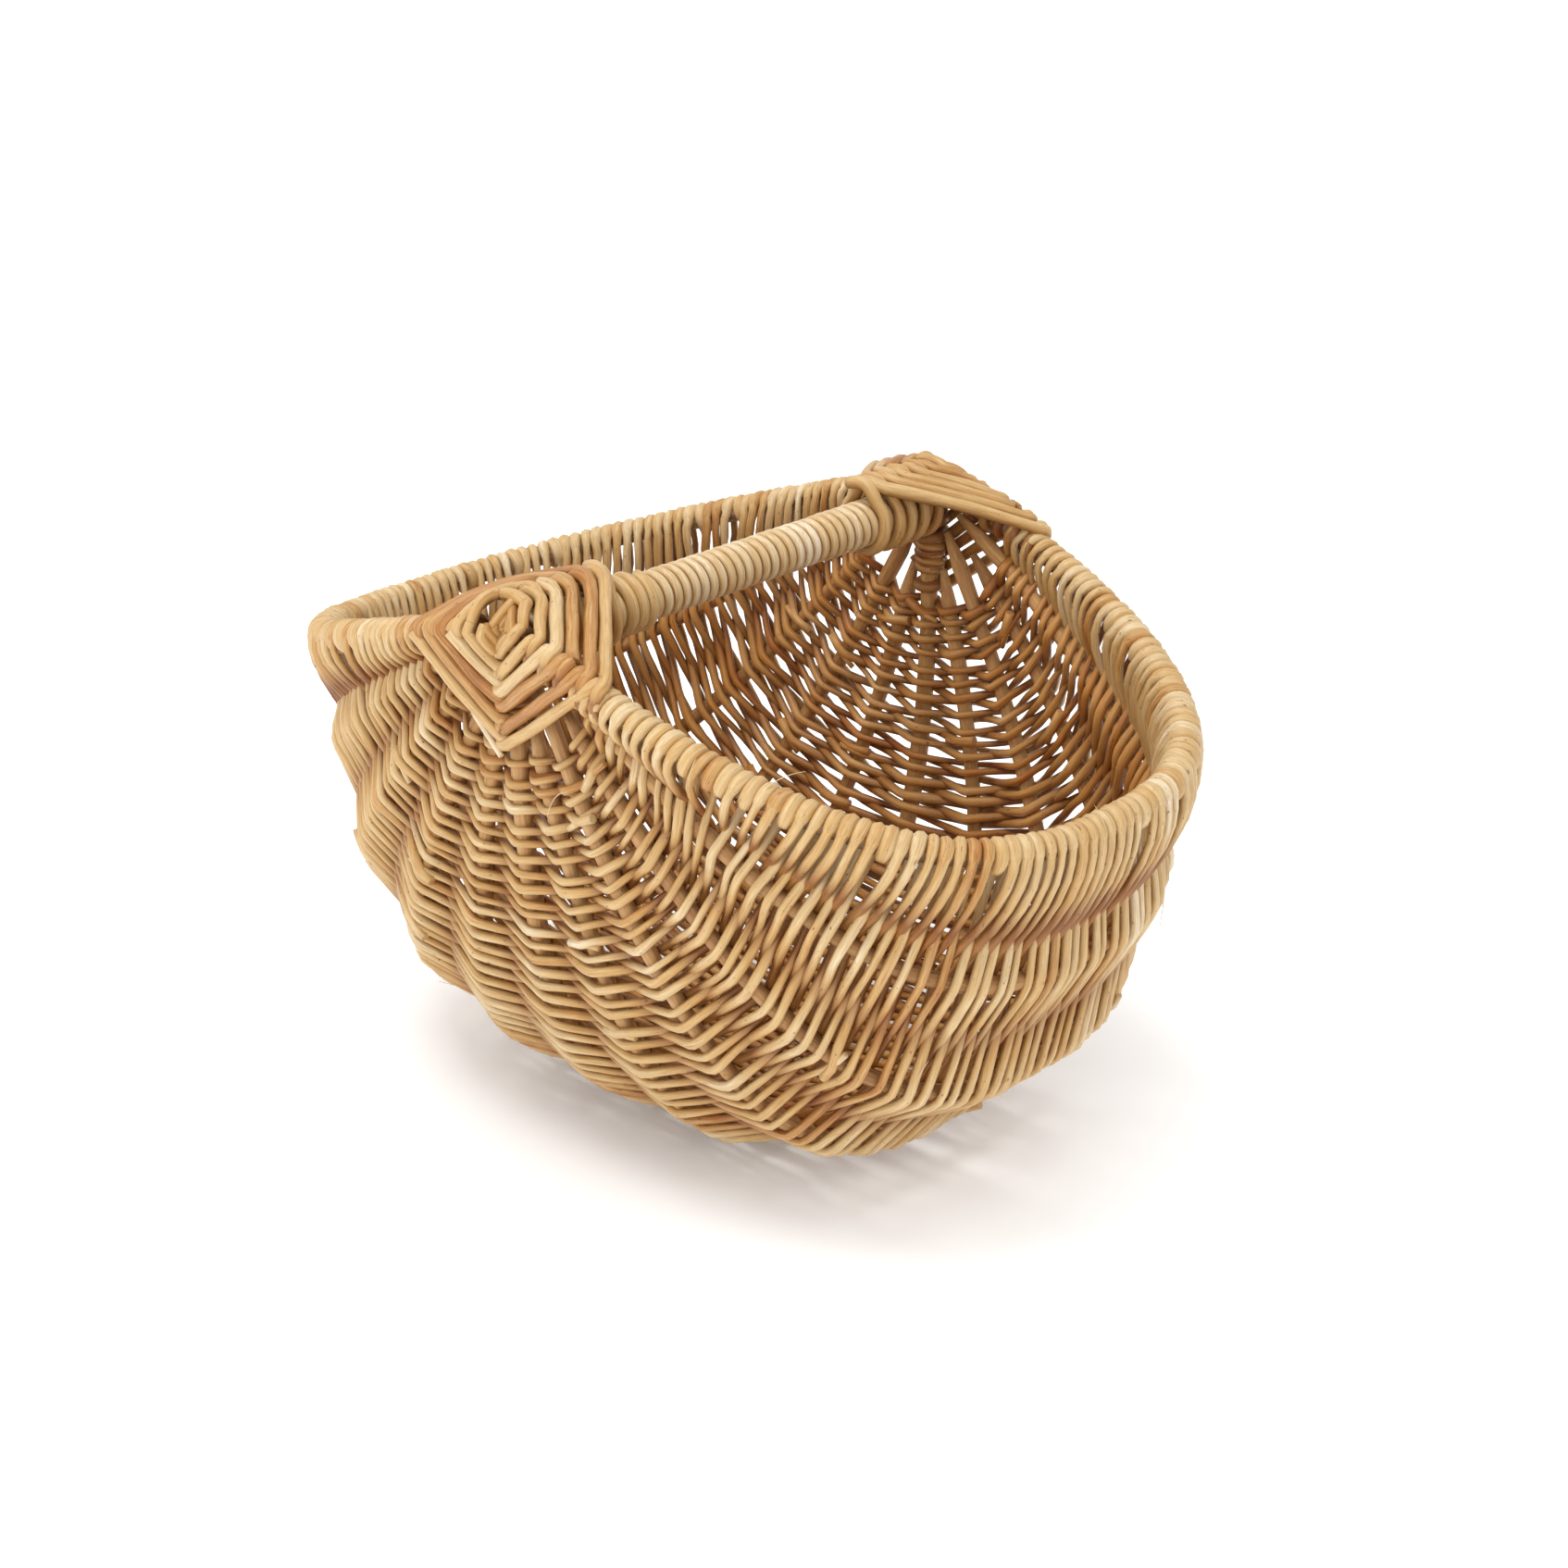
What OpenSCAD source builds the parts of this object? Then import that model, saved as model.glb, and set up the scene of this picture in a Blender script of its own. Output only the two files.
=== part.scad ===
// Egg collection basket: a rib-and-hoop basket of willow rods.
// X runs along the length, Y along the handle and Z up; the ground is Z = 0.
// The origin is on the ground under the middle of the handle.

/* [Basket] */
// Length over the rim's centre line, end to end
rim_len = 396; // [300:2:480]
// Width over the rim's centre line, at the handle
rim_wid = 260; // [220:2:320]
// Height of the rim's centre line at the handle
rim_high = 240; // [200:2:300]
// Drop of the rim from the handle to each end
rim_drop = 61; // [20:1:80]
// Squareness of the rim seen from above (2 is an ellipse)
rim_square = 2.6; // [2:0.1:3.5]
// Squareness of the body across the length
body_square = 3.1; // [2.2:0.1:4]
// Squareness of the body across the width
side_square = 3.14; // [2.2:0.01:4]
// How softly the rim turns over at the handle
dip_soft = 0.124; // [0.05:0.002:0.4]

/* [Rods] */
// Diameter of the rim hoop's rod
hoop_d = 9; // [7:0.5:12]
// Diameter over the weavers wrapped round the rim
rim_wrap_d = 14.8; // [12:0.2:18]
// Diameter of the keel rib
keel_d = 8; // [6:0.5:9]
// Diameter of the other ribs
rib_d = 7; // [5:0.5:8]
// Diameter of the weaving rods
weaver_d = 3.7; // [2.5:0.1:4.5]
// Diameter over the skein wrapped round the top of the keel rib
keel_wrap_d = 10; // [9.5:0.1:11]

/* [Handle] */
// Diameter of the handle's bar
bar_d = 14; // [10:0.5:16]
// Diameter over the skein wrapped round the bar
grip_d = 20.5; // [17:0.5:24]
// Turns of skein on the grip
grip_turns = 46; // [20:1:60]
// Depth of the groove between two turns
grip_groove = 0.8; // [0.3:0.1:1.5]
// How far the bar's axis lies below the rim's centre line
bar_below = 3; // [0:0.5:6]

/* [Lashings] */
// Reach of the diamond lashing along the rim, the handle and the keel rib
eye_reach = 44; // [36:1:48]
// Thickness of the lashing's rods between two arms
eye_thick = 7; // [5:0.5:8]
// How far the lashing stands above the wrapped handle
eye_rise = 9; // [5:0.5:11]

/* [Weave] */
// Bands of rows from front to rear
band_n = 8; // [4:1:12]
// Share of each half rim that the front lashing takes before the first row
weave_start = 0.08; // [0.06:0.005:0.1]
// Depth to which the underside is pressed flat where the basket stands
foot_press = 5; // [4:0.5:6]

/* [Hidden] */

bare = "burlywood";
weathered = "peru";
shaded = "sienna";

gap = 0.3;
// Stakes are numbered from the right rim (0) down over the keel (mid) and up to the left rim
stake_n = 10;
mid = stake_n / 2;
wall_half = rib_d / 2 + weaver_d;
half_len = rim_len / 2;
half_wid = rim_wid / 2;
bar_z = rim_high - bar_below;
body_len = half_len * 1.0205 - wall_half;
body_wid = half_wid - wall_half + gap;
body_deep = rim_high - wall_half;
curve_n = 72;
section_n = 60;

function unit(v) = v / norm(v);
function power(v, e) = pow(max(abs(v), 0), e);
function dip(u) = (sqrt(u * u + dip_soft * dip_soft) - dip_soft) / (sqrt(1 + dip_soft * dip_soft) - dip_soft);
function running(p) = [for (i = 0, s = 0; i < len(p); i = i + 1, s = s + (i < len(p) ? norm(p[i] - p[i - 1]) : 0)) s];

// The body's cross-section over the middle, from the rim's level down to the keel
section_top = asin(pow(rim_drop / body_deep, body_square / 2));
section_angles = [for (i = [0:section_n]) section_top + (90 - section_top) * i / section_n];
function section(a) = [body_len * power(cos(a), 2 / body_square), -body_deep * power(sin(a), 2 / body_square)];
section_run = running([for (a = section_angles) section(a)]);
section_table = [for (i = [0:section_n]) [section_run[i] / section_run[section_n], section_angles[i]]];
function rib_section(j) = section(lookup((j <= mid ? j : stake_n - j) / mid, section_table));

// A stake's centre line for f from 0 at the front to 1 at the rear
function side(j) = j < mid ? 1 : j > mid ? -1 : 0;
function is_rim(j) = j == 0 || j == stake_n;
function rim_raw(j, f) = let (g = power(sin(180 * f), 2 / rim_square), c = cos(180 * f))
    [side(j) * half_len * g, -half_wid * sign(c) * power(c, 2 / rim_square), rim_high - rim_drop * dip(g)];
function rib_raw(j, f) = let (
        q = rib_section(j), w = (-q[1] - rim_drop) / (body_deep - rim_drop),
        e = 2 / (rim_square + (side_square - rim_square) * w),
        g = power(sin(180 * f), e), c = cos(180 * f))
    [side(j) * q[0] * g, -body_wid * sign(c) * power(c, e), rim_high + q[1] * ((1 - w) * dip(g) + w * g)];
function raw(j, f) = is_rim(j) ? rim_raw(j, f) : rib_raw(j, f);
stake_run = [for (j = [0:stake_n]) running([for (i = [0:curve_n]) raw(j, i / curve_n)])];
stake_table = [for (j = [0:stake_n]) [for (i = [0:curve_n]) [stake_run[j][i] / stake_run[j][curve_n], i / curve_n]]];

// The same centre line with t as the share of the stake's own length
function stake(j, t) = raw(j, lookup(t, stake_table[j]));
function along(j, t) = unit(stake(j, min(t + 0.01, 1)) - stake(j, max(t - 0.01, 0)));
function across(j, t) = stake(min(j + 1, stake_n), t) - stake(max(j - 1, 0), t);
function share(j, d) = d / stake_run[j][curve_n];

// A ring of points round a centre line
function ring(c, t, r, ref, sides) = let (e1 = unit(ref - (ref * t) * t), e2 = cross(t, e1))
    [for (k = [0:sides - 1]) c + r * (cos(360 * k / sides) * e1 + sin(360 * k / sides) * e2)];
function skin(n, sides, base = 0, flip = false) = [for (i = [0:n - 2], k = [0:sides - 1]) let (
        a = base + i * sides + k, b = base + i * sides + (k + 1) % sides, c = a + sides, d = b + sides)
    each flip ? [[a, b, c], [b, d, c]] : [[a, c, b], [b, c, d]]];
function flat(list) = [for (l = list) each l];

// A solid rod along a stake, thinner at both ends
module rod(j, start, tip, size, sides = 8, rings = 30) {
    t0 = share(j, start);
    taper = share(j, 16);
    ts = [for (i = [0:rings]) t0 + (1 - 2 * t0) * i / rings];
    pts = flat([for (t = ts) let (d = min(t - t0, 1 - t0 - t), k = min(1, d / taper))
        ring(stake(j, t), along(j, t), (tip + (size - tip) * k) / 2, across(j, t), sides)]);
    n = rings + 1;
    polyhedron(pts, concat(skin(n, sides), [[for (k = [0:sides - 1]) k]],
        [[for (k = [sides - 1:-1:0]) (n - 1) * sides + k]]));
}

// Sleeves round a stake: one closed shell for each stretch between two shares of its length
module sleeves(j, from, to, count, outer, inner, sides = 10, rings = 3) {
    step = (to - from) / count;
    slack = share(j, gap) / 2;
    per = 2 * rings * sides;
    pts = flat([for (s = [0:count - 1], r = [outer, inner], i = [0:rings - 1])
        let (t = from + slack + s * step + (step - 2 * slack) * i / (rings - 1))
        ring(stake(j, t), along(j, t), r / 2, across(j, t), sides)]);
    faces = [for (s = [0:count - 1]) let (o = s * per, n = o + rings * sides, last = (rings - 1) * sides)
        each concat(skin(rings, sides, o), skin(rings, sides, n, true),
            [for (k = [0:sides - 1]) let (m = (k + 1) % sides)
                each [[o + k, o + m, n + k], [o + m, n + m, n + k],
                    [o + last + m, o + last + k, n + last + k], [o + last + m, n + last + k, n + last + m]]])];
    polyhedron(pts, faces);
}

// The closed hoop that the whole basket hangs from
module rim_hoop() color(bare) {
    half = 36;
    sides = 10;
    ts = [for (i = [0:half - 1]) [0, i / half], for (i = [0:half - 1]) [stake_n, 1 - i / half]];
    n = len(ts);
    c = [for (q = ts) stake(q[0], q[1])];
    pts = flat([for (i = [0:n - 1]) let (t = unit(c[(i + 1) % n] - c[(i + n - 1) % n]),
            down = stake(ts[i][0] == 0 ? 1 : stake_n - 1, ts[i][1]) - c[i])
        ring(c[i], t, hoop_d / 2, down, sides)]);
    faces = [for (i = [0:n - 1], k = [0:sides - 1]) let (m = (k + 1) % sides, p = (i + 1) % n)
        each [[i * sides + k, p * sides + k, i * sides + m], [i * sides + m, p * sides + k, p * sides + m]]];
    polyhedron(pts, faces);
}

module rim_wrap(j) color(bare)
    sleeves(j, weave_start, 1 - weave_start, 14, rim_wrap_d, hoop_d + gap);

// The straight bar across the middle, its ends butted against the hoop
module handle_bar() color(shaded) {
    reach = half_wid - hoop_d / 2 - gap;
    translate([0, -reach, bar_z]) rotate([-90, 0, 0]) cylinder(h = 2 * reach, d = bar_d, $fn = 48);
}

// The close-wound skein on the bar, one shallow ridge for each turn
module handle_wrap() color(bare) {
    reach = body_wid - rib_d / 2 - 2 * gap;
    pitch = 2 * reach / grip_turns;
    r = grip_d / 2;
    ridge = [for (i = [0:grip_turns - 1]) each [
        [r - grip_groove, i * pitch], [r, (i + 0.25) * pitch], [r, (i + 0.75) * pitch]]];
    outline = concat([[bar_d / 2 + gap / 3, 0]], ridge,
        [[r - grip_groove, 2 * reach], [bar_d / 2 + gap / 3, 2 * reach]]);
    translate([0, -reach, bar_z]) rotate([-90, 0, 0]) rotate_extrude($fn = 64) polygon(outline);
}

// The keel rib runs from pole to pole under the middle; the others fan out beside it
keel_start = bar_d / 2 + bar_below + keel_d / 2;
module keel_rib() color(shaded) rod(mid, keel_start, keel_d - 1, keel_d);
module keel_wrap(from) color(weathered)
    sleeves(mid, from, from + share(mid, 18), 1, keel_wrap_d, keel_d + gap, rings = 5);
module rib(j) color(weathered)
    rod(j, j % 2 == 1 ? 18 : 34, 3, rib_d);

// Three-sided slab between two arms of a lashing, given its outer corners and its depth
module web(corners, depth) {
    pts = concat(corners, [for (c = corners) c + depth]);
    up = cross(corners[1] - corners[0], corners[2] - corners[0]) * depth < 0;
    faces = [[0, 2, 1], [3, 4, 5], [0, 1, 4, 3], [1, 2, 5, 4], [2, 0, 3, 5]];
    polyhedron(pts, up ? faces : [for (f = faces) [for (k = [len(f) - 1:-1:0]) f[k]]]);
}

// The diamond lashing: two webs lie flat between the handle and the rim,
// two stand outside between the rim and the keel rib
module gods_eye(end) color(bare)
    for (s = [1, -1]) {
        arm = stake(0, share(0, eye_reach));
        inner = half_wid - hoop_d / 2 - 2 * gap;
        x0 = grip_d / 2 + gap;
        top = rim_high + hoop_d / 2 + weaver_d;
        web([[s * x0, end * (half_wid - eye_reach), bar_z + grip_d / 2 + eye_rise],
            [s * x0, end * inner, top],
            [s * arm[0], end * (inner - 2), arm[2] + hoop_d / 2 + weaver_d]], [0, 0, -eye_thick]);
        outer = body_wid + wall_half;
        web([[s * gap, end * outer, rim_high - hoop_d / 2 - 1],
            [s * (arm[0] - 2), end * outer, arm[2] - rim_wrap_d / 2],
            [s * gap, end * outer, rim_high - eye_reach]], [0, -end * (wall_half - keel_d / 2 - gap), 0]);
    }

// One band of woven wall: a curved panel between each two neighbouring stakes
panel_cells = 4;
function pressed(p) = p[2] < foot_press ? [p[0], p[1], 0] : p;
function clear_of(j) = is_rim(j) ? rim_wrap_d / 2 + gap : (j == mid ? keel_d : rib_d) / 2 + gap;
function panel_ring(j, t) = let (
        a = stake(j, t), b = stake(j + 1, t), wide = norm(b - a), n = unit(cross(b - a, along(j, t) + along(j + 1, t))),
        g0 = clear_of(j) / wide, g1 = 1 - clear_of(j + 1) / wide,
        edge0 = is_rim(j) ? weaver_d : wall_half, edge1 = is_rim(j + 1) ? weaver_d : wall_half,
        o = [for (q = [[g0, edge0], [0.5, weaver_d], [g1, edge1]]) [a + (b - a) * q[0], q[1] * n]])
    [pressed(o[0][0] + o[0][1]), pressed(o[1][0] + o[1][1]), pressed(o[2][0] + o[2][1]),
        o[2][0] - o[2][1], o[1][0] - o[1][1], o[0][0] - o[0][1]];

module weave_band(b) color(b % 2 == 0 ? weathered : bare) {
    step = (1 - 2 * weave_start) / band_n;
    slack = share(mid, gap) / 2;
    from = weave_start + (b - 1) * step + slack;
    per = 6 * (panel_cells + 1);
    pts = flat([for (j = [0:stake_n - 1], i = [0:panel_cells])
        panel_ring(j, from + (step - 2 * slack) * i / panel_cells)]);
    faces = [for (j = [0:stake_n - 1]) let (o = j * per, e = o + 6 * panel_cells) each concat(
        skin(panel_cells + 1, 6, o, true),
        [[o + 5, o + 1, o], [o + 5, o + 4, o + 1], [o + 4, o + 2, o + 1], [o + 4, o + 3, o + 2]],
        [[e, e + 1, e + 5], [e + 1, e + 4, e + 5], [e + 1, e + 2, e + 4], [e + 2, e + 3, e + 4]])];
    polyhedron(pts, faces);
}

rim_hoop();
rim_wrap(0);  // rim_wrap_right
rim_wrap(stake_n);  // rim_wrap_left
handle_bar();
handle_wrap();
keel_rib();
keel_wrap(share(mid, keel_start + 2));  // keel_wrap_front
keel_wrap(1 - share(mid, keel_start + 20));  // keel_wrap_rear
rib(1);  // rib_right_1
rib(2);  // rib_right_2
rib(3);  // rib_right_3
rib(4);  // rib_right_4
rib(9);  // rib_left_1
rib(8);  // rib_left_2
rib(7);  // rib_left_3
rib(6);  // rib_left_4
gods_eye(-1);  // gods_eye_front
gods_eye(1);  // gods_eye_rear
weave_band(1);  // weave_band_1
weave_band(2);  // weave_band_2
weave_band(3);  // weave_band_3
weave_band(4);  // weave_band_4
weave_band(5);  // weave_band_5
weave_band(6);  // weave_band_6
weave_band(7);  // weave_band_7
weave_band(8);  // weave_band_8
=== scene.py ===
import math
import random

import bmesh
import bpy
import numpy as np
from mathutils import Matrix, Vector


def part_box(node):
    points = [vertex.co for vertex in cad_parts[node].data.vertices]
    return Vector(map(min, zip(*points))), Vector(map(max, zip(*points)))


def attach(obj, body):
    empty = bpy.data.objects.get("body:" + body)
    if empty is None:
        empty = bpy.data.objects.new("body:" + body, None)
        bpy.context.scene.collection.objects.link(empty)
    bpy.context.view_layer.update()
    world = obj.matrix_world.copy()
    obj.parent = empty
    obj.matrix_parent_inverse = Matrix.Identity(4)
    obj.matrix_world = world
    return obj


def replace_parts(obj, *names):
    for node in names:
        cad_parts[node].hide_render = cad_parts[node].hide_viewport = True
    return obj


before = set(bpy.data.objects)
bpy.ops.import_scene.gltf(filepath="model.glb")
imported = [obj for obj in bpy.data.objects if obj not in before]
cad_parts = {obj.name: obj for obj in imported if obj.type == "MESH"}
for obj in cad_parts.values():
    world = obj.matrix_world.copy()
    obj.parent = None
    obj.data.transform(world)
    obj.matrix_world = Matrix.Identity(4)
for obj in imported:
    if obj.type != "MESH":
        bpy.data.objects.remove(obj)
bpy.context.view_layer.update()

# sizes taken over from the frame, in metres
hoopLow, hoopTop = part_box("rim_hoop")
barLow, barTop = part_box("handle_bar")
gripLow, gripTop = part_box("handle_wrap")
keelLow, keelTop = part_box("keel_rib")

basket = {
    "hoopRadius": 0.0045,
    "ribRadius": 0.0035,
    "keelRadius": 0.004,
    "weaverRadius": 0.00185,
    "rimSquare": 2.6,  # 2 is an ellipse, more is squarer
    "bodySquare": 3.1,
    "sideSquare": 3.14,
    "dipSoft": 0.124,  # how gently the rim turns down beside the crossings
    "lengthShare": 1.0205,  # the belly is a little longer than the rim
    "poleSpare": 0.0003,
    "stakes": 11,  # two rim halves, eight side ribs and the keel rib
    "weaveStart": 0.08,  # the share of a stake that the lashing covers
    "nearStep": 0.01,
}

keelStake = basket["stakes"] // 2
leftRim = basket["stakes"] - 1
rims = (0, leftRim)
wallHalf = basket["ribRadius"] + 2 * basket["weaverRadius"]
halfLength = hoopTop.x - basket["hoopRadius"]
halfWidth = hoopTop.y - basket["hoopRadius"]
rimHeight = hoopTop.z - basket["hoopRadius"]
rimDrop = rimHeight - (hoopLow.z + basket["hoopRadius"])
barAxis = (barLow.z + barTop.z) / 2
barRadius = (barTop.z - barLow.z) / 2
gripRadius = (gripTop.z - gripLow.z) / 2
bodyLength = halfLength * basket["lengthShare"] - wallHalf
bodyWidth = halfWidth - wallHalf + basket["poleSpare"]
bodyDepth = rimHeight - (keelLow.z + basket["keelRadius"])


# the run of the stakes: rim, ribs and keel rib, all from the front crossing to the rear one
def rimDip(u):
    soft = basket["dipSoft"]
    return (math.sqrt(u * u + soft * soft) - soft) / (math.sqrt(1 + soft * soft) - soft)


def crossSection(angle):
    power = 2 / basket["bodySquare"]
    return bodyLength * max(math.cos(angle), 0) ** power, -bodyDepth * math.sin(angle) ** power


def sectionTable(steps=60):
    # the share of the way from rim to keel against the angle, so that the ribs stand evenly apart
    top = math.asin((rimDrop / bodyDepth) ** (basket["bodySquare"] / 2))
    angles = [top + (math.pi / 2 - top) * i / steps for i in range(steps + 1)]
    points = [crossSection(angle) for angle in angles]
    run = [0.0]
    for a, b in zip(points, points[1:]):
        run.append(run[-1] + math.dist(a, b))
    return [r / run[-1] for r in run], angles


sectionRun, sectionAngles = sectionTable()


def ribSection(j):
    share = (j if j <= keelStake else leftRim - j) / keelStake
    return crossSection(float(np.interp(share, sectionRun, sectionAngles)))


def stakeSide(j):
    return (j < keelStake) - (j > keelStake)


def rawStake(j, f):
    c = math.cos(math.pi * f)
    s = abs(math.sin(math.pi * f))
    if j in rims:
        power = 2 / basket["rimSquare"]
        g = s ** power
        y = -halfWidth * math.copysign(abs(c) ** power, c)
        return Vector((stakeSide(j) * halfLength * g, y, rimHeight - rimDrop * rimDip(g)))
    across, down = ribSection(j)
    w = (-down - rimDrop) / (bodyDepth - rimDrop)  # 0 beside the rim, 1 on the keel rib
    power = 2 / (basket["rimSquare"] + (basket["sideSquare"] - basket["rimSquare"]) * w)
    g = s ** power
    y = -bodyWidth * math.copysign(abs(c) ** power, c)
    return Vector((stakeSide(j) * across * g, y, rimHeight + down * ((1 - w) * rimDip(g) + w * g)))


def stakeTable(j, steps=180):
    points = [rawStake(j, i / steps) for i in range(steps + 1)]
    run = [0.0]
    for a, b in zip(points, points[1:]):
        run.append(run[-1] + (b - a).length)
    return [r / run[-1] for r in run], [i / steps for i in range(steps + 1)], run[-1]


stakeTables = [stakeTable(j) for j in range(basket["stakes"])]


def stakeLength(j):
    return stakeTables[j][2]


def stake(j, t):
    # a point at share t of the stake's length
    shares, fractions, _ = stakeTables[j]
    return rawStake(j, float(np.interp(t, shares, fractions)))


def alongStake(j, t):
    step = basket["nearStep"]
    return (stake(j, min(t + step, 1)) - stake(j, max(t - step, 0))).normalized()


def outOfWall(j, t):
    chord = stake(min(j + 1, leftRim), t) - stake(max(j - 1, 0), t)
    return chord.cross(alongStake(j, t)).normalized()


def stakeRadius(j):
    if j in rims:
        return basket["hoopRadius"]
    return basket["keelRadius"] if j == keelStake else basket["ribRadius"]


print("stakes ready, keel run", round(stakeLength(keelStake), 4))

# how unevenly a rod grows: shares of its radius, bends in metres, and how often each comes
growth = {
    "slow": 0.05,
    "slowRate": 75,
    "quick": 0.05,
    "quickRate": 190,
    "bend": 0.0005,
    "bendRate": 110,
    "kink": 0.6,
    "kinkRate": 260,
    "aside": 0.5,
    "outward": 0.35,
}


class Rod:
    def __init__(self, tone):
        self.points = []
        self.radii = []
        self.faces = []
        self.heights = []
        self.tone = tone

    def add(self, point, radius, face, height=None):
        # face is the way out of the work at this point; height is how far the rod stands from its middle
        self.points.append(Vector(point))
        self.radii.append(radius)
        self.faces.append(Vector(face))
        self.heights.append(wallHalf - radius if height is None else height)

    def smooth(self):
        old = self.points
        inner = [(old[i - 1] + old[i] * 2 + old[i + 1]) / 4 for i in range(1, len(old) - 1)]
        self.points = [old[0]] + inner + [old[-1]]

    def grow(self, dice):
        # knots, thick and thin places, and the small bends of a grown rod
        turns = [dice.uniform(0, 2 * math.pi) for _ in range(4)]
        grown = []
        along = 0.0
        for i, (point, face) in enumerate(zip(self.points, self.faces)):
            if i:
                along += (point - self.points[i - 1]).length
            slow = growth["slow"] * math.sin(along * growth["slowRate"] + turns[0])
            quick = growth["quick"] * math.sin(along * growth["quickRate"] + turns[1])
            self.radii[i] *= 1 + (slow + quick)
            wave = math.sin(along * growth["bendRate"] + turns[2])
            kink = growth["kink"] * math.sin(along * growth["kinkRate"] + turns[3])
            bend = growth["bend"] * (wave + kink)
            aside = face.cross(Vector((0, 0, 1))).normalized()
            moved = point + aside * (growth["aside"] * bend)
            grown.append(moved + face.normalized() * (growth["outward"] * bend))
        self.points = grown


def pickTone(dice, middle, spread):
    return min(1, max(0, dice.gauss(middle, spread)))


# rods are bevelled curves turned into meshes that carry their own grain
rodBuild = {"unit": 0.001, "grainGap": 0.37}


def perCorner(rods, pick, sides):
    # one value for each point of each rod, repeated for the corners of its ring
    return np.repeat(np.array([value for rod in rods for value in pick(rod)]), sides, axis=0)


def rodMesh(name, rods, sides=8):
    curve = bpy.data.curves.new(name, "CURVE")
    curve.dimensions = "3D"
    curve.fill_mode = "FULL"
    curve.bevel_depth = rodBuild["unit"]
    curve.bevel_resolution = (sides - 4) // 2
    for rod in rods:
        spline = curve.splines.new("POLY")
        spline.points.add(len(rod.points) - 1)
        spline.points.foreach_set("co", [value for p in rod.points for value in (p.x, p.y, p.z, 1.0)])
        spline.points.foreach_set("radius", [r / rodBuild["unit"] for r in rod.radii])
    holder = bpy.data.objects.new(name + "Curve", curve)
    bpy.context.scene.collection.objects.link(holder)
    graph = bpy.context.evaluated_depsgraph_get()
    mesh = bpy.data.meshes.new_from_object(holder.evaluated_get(graph))
    mesh.name = name
    bpy.data.objects.remove(holder)
    bpy.data.curves.remove(curve)
    # grain runs along the rod and round it; depth says how far a point stands out of the wall, and the
    # willow finishes paint shade by it
    corners = np.empty(len(mesh.vertices) * 3)
    mesh.vertices.foreach_get("co", corners)
    corners = corners.reshape(-1, 3)
    centres = perCorner(rods, lambda rod: rod.points, sides)
    faces = perCorner(rods, lambda rod: rod.faces, sides)
    heights = perCorner(rods, lambda rod: rod.heights, sides)
    radii = perCorner(rods, lambda rod: rod.radii, sides)
    tones = perCorner(rods, lambda rod: [rod.tone] * len(rod.points), sides)
    depth = (heights + ((corners - centres) * faces).sum(axis=1)) / wallHalf
    runs = []
    offset = 0.0
    for rod in rods:
        steps = [0.0] + [(q - p).length for p, q in zip(rod.points, rod.points[1:])]
        runs.append(offset + np.cumsum(steps))
        offset = runs[-1][-1] + rodBuild["grainGap"]
    runs = np.repeat(np.concatenate(runs), sides)
    turns = np.tile(np.arange(sides) * 2 * math.pi / sides, len(corners) // sides)
    grain = np.stack([runs, radii * np.cos(turns), radii * np.sin(turns)], axis=1)
    mesh.attributes.new("grain", "FLOAT_VECTOR", "POINT").data.foreach_set("vector", grain.ravel())
    mesh.attributes.new("tone", "FLOAT", "POINT").data.foreach_set("value", tones)
    mesh.attributes.new("depth", "FLOAT", "POINT").data.foreach_set("value", depth)
    # cut ends closed, faces outward
    bm = bmesh.new()
    bm.from_mesh(mesh)
    bmesh.ops.holes_fill(bm, edges=[e for e in bm.edges if e.is_boundary], sides=sides)
    bmesh.ops.recalc_face_normals(bm, faces=bm.faces)
    for face in bm.faces:
        face.smooth = len(face.verts) == 4
    bm.to_mesh(mesh)
    bm.free()
    return mesh


def rodPiece(name, rods, material, sides=8):
    mesh = rodMesh(name, rods, sides)
    mesh.materials.clear()
    mesh.materials.append(material)
    piece = bpy.data.objects.new(name, mesh)
    bpy.context.scene.collection.objects.link(piece)
    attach(piece, "root")
    print(name, len(rods), "rods", len(mesh.polygons), "faces")
    return piece


# willow: small helpers for its nodes first
def link(tree, a, b):
    tree.links.new(a, b)


def attributeNode(tree, name):
    node = tree.nodes.new("ShaderNodeAttribute")
    node.attribute_name = name
    return node


def noiseNode(tree, vector, layer):
    # a layer is the scale along and across the grain, the detail and the roughness
    scale, detail, roughness = layer
    mapping = tree.nodes.new("ShaderNodeMapping")
    mapping.vector_type = "POINT"
    mapping.inputs["Scale"].default_value = scale
    link(tree, vector, mapping.inputs["Vector"])
    node = tree.nodes.new("ShaderNodeTexNoise")
    node.inputs["Scale"].default_value = 1.0
    node.inputs["Detail"].default_value = detail
    node.inputs["Roughness"].default_value = roughness
    link(tree, mapping.outputs["Vector"], node.inputs["Vector"])
    return node.outputs["Fac"]


def rampNode(tree, value, stops):
    node = tree.nodes.new("ShaderNodeValToRGB")
    ramp = node.color_ramp
    ramp.elements[0].position = stops[0][0]
    ramp.elements[0].color = (*stops[0][1], 1)
    ramp.elements[1].position = stops[-1][0]
    ramp.elements[1].color = (*stops[-1][1], 1)
    for position, colour in stops[1:-1]:
        element = ramp.elements.new(position)
        element.color = (*colour, 1)
    link(tree, value, node.inputs["Fac"])
    return node.outputs["Color"]


def mathNode(tree, operation, a, b, c=0.0, clamp=False):
    node = tree.nodes.new("ShaderNodeMath")
    node.operation = operation
    node.use_clamp = clamp
    for socket, value in zip(node.inputs, (a, b, c)):
        if isinstance(value, (int, float)):
            socket.default_value = value
        else:
            link(tree, value, socket)
    return node.outputs["Value"]


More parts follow.
